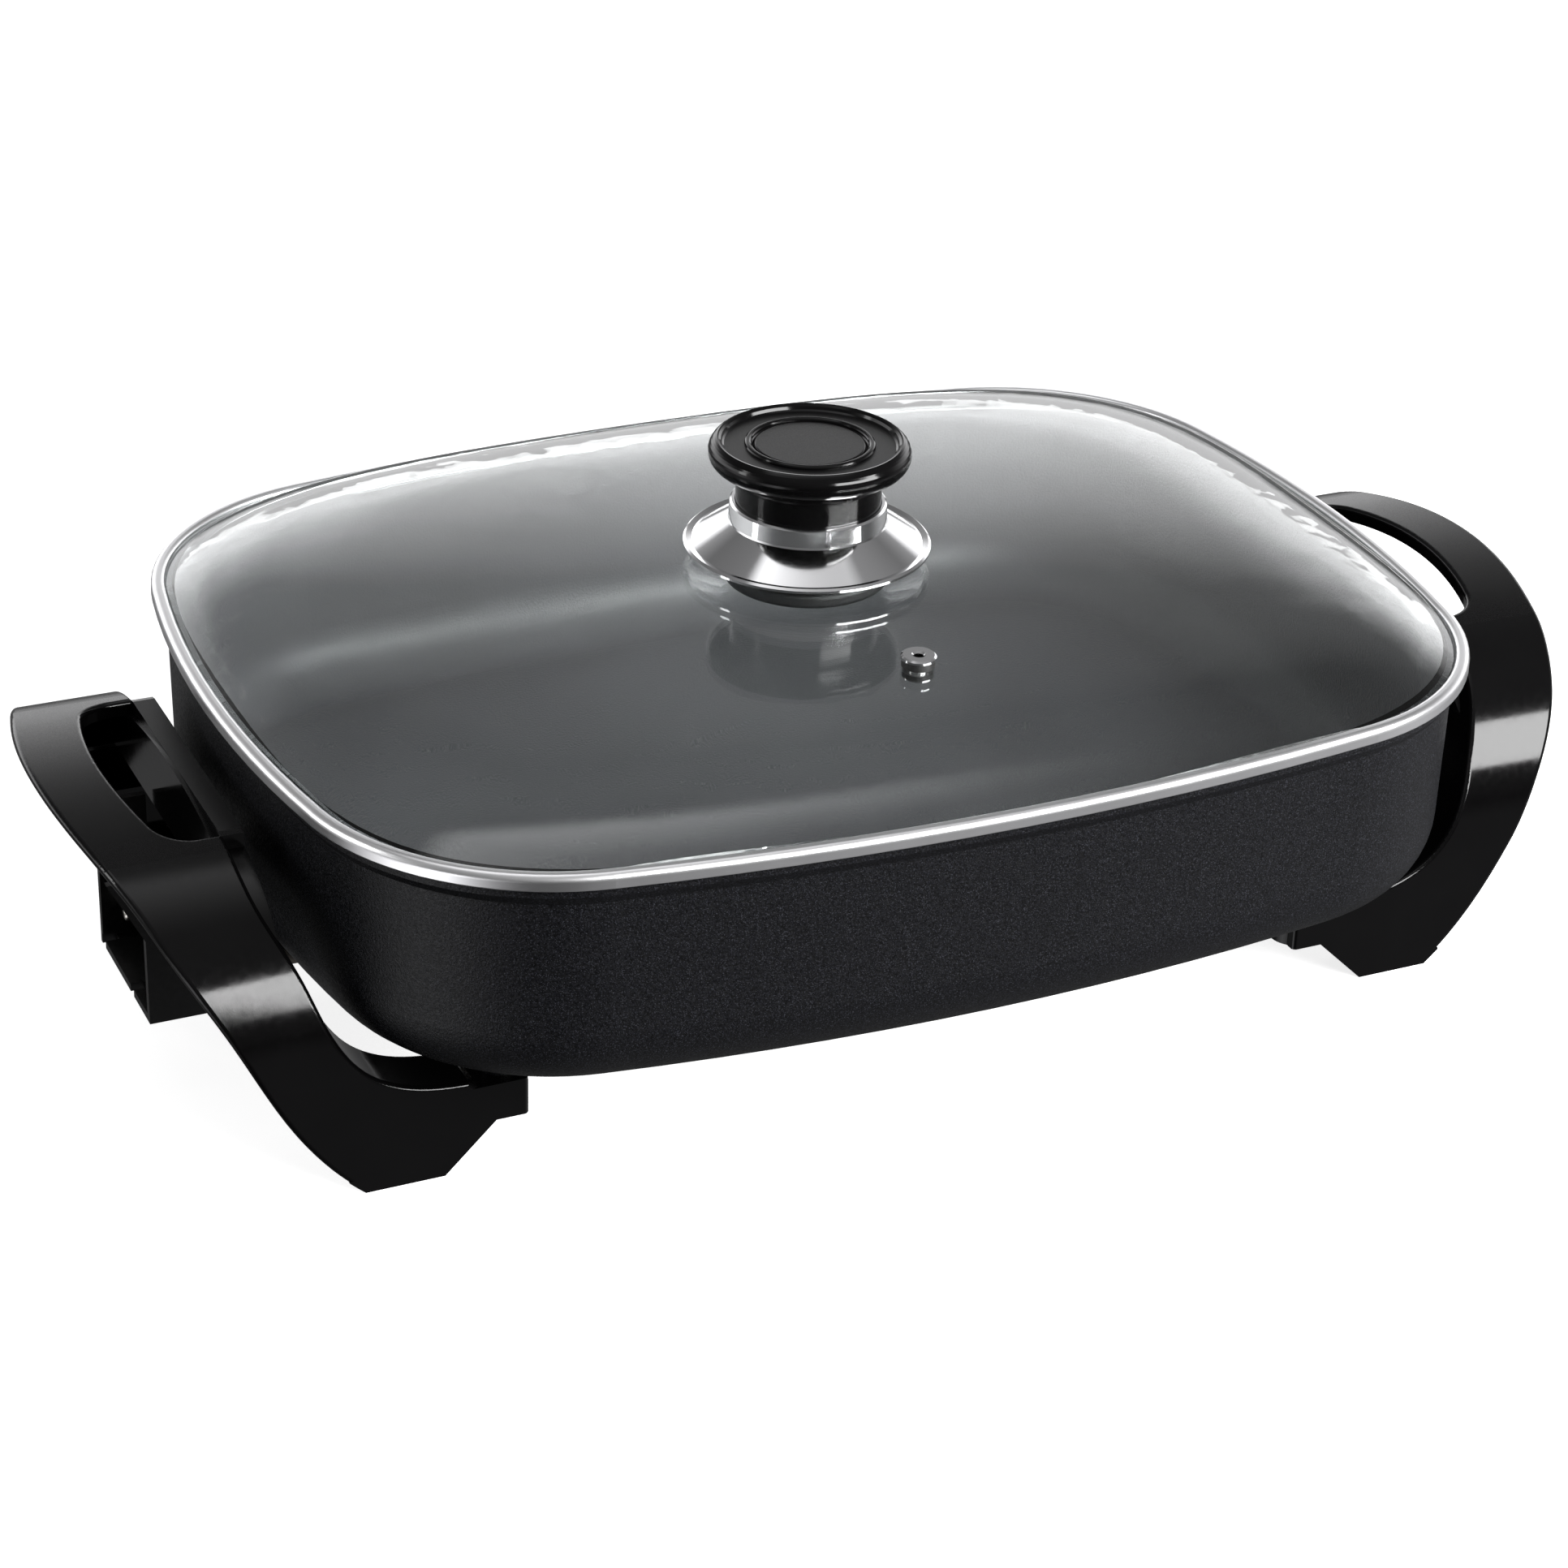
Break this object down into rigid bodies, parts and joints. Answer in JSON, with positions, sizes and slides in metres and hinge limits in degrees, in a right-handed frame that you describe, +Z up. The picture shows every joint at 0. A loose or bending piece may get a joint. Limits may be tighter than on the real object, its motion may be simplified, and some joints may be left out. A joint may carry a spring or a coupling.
{
  "type": "electric skillet",
  "caption": "Rectangular electric skillet: deep non-stick pan on leg-handles, under-floor heater, probe socket at one end and a lift-off domed glass lid with knob and steam vent.",
  "frame": {"origin": "on the table, under the middle of the pan", "axes": "+Z up, +X along the long side away from the probe socket, +Y towards the back"},
  "size_m": [0.5088, 0.3126, 0.1766],
  "materials": {
    "pan_metal": "speckled charcoal enamel outside, satin non-stick coating inside, on cast aluminium",
    "phenolic": "black moulded phenolic, gloss with a satin grip",
    "guard_plastic": "black moulded phenolic, satin",
    "screw_steel": "zinc plated steel",
    "sheath_steel": "annealed steel tube, slightly heat tinted",
    "plate_steel": "pressed stainless sheet",
    "pin_metal": "nickel plated",
    "ceramic": "unglazed steatite",
    "lid_glass": "clear tempered glass",
    "rim_steel": "polished stainless sheet",
    "skirt_chrome": "polished stainless pressing",
    "silicone": "black silicone",
    "brass": "turned brass"
  },
  "bodies": {
    "base": {"pan": "pan_metal", "heater_sheath": "sheath_steel", "heater_clips": "plate_steel", "heater_clip_screws": "screw_steel", "terminal_pins": "pin_metal", "pin_insulators": "ceramic", "probe_sleeve": "plate_steel", "terminal_plate": "plate_steel", "probe_guard": "guard_plastic", "guard_screws": "screw_steel", "left_handle": "phenolic", "right_handle": "phenolic", "left_handle_screws": "screw_steel", "right_handle_screws": "screw_steel", "left_handle_washers": "screw_steel", "right_handle_washers": "screw_steel"},
    "lid": {"lid_glass": "lid_glass", "lid_rim": "rim_steel", "vent_grommet": "silicone", "vent_eyelet": "skirt_chrome", "knob_skirt": "skirt_chrome", "skirt_gasket": "silicone", "knob": "phenolic", "knob_cap": "phenolic", "knob_insert": "brass", "inner_gasket": "silicone", "knob_washer": "screw_steel", "knob_screw": "screw_steel"}
  },
  "joints": [
    {"name": "lid_lift", "type": "slide", "parent": "base", "child": "lid", "axis": [0, 0, 1], "range_m": [0, 0.18]}
  ]
}
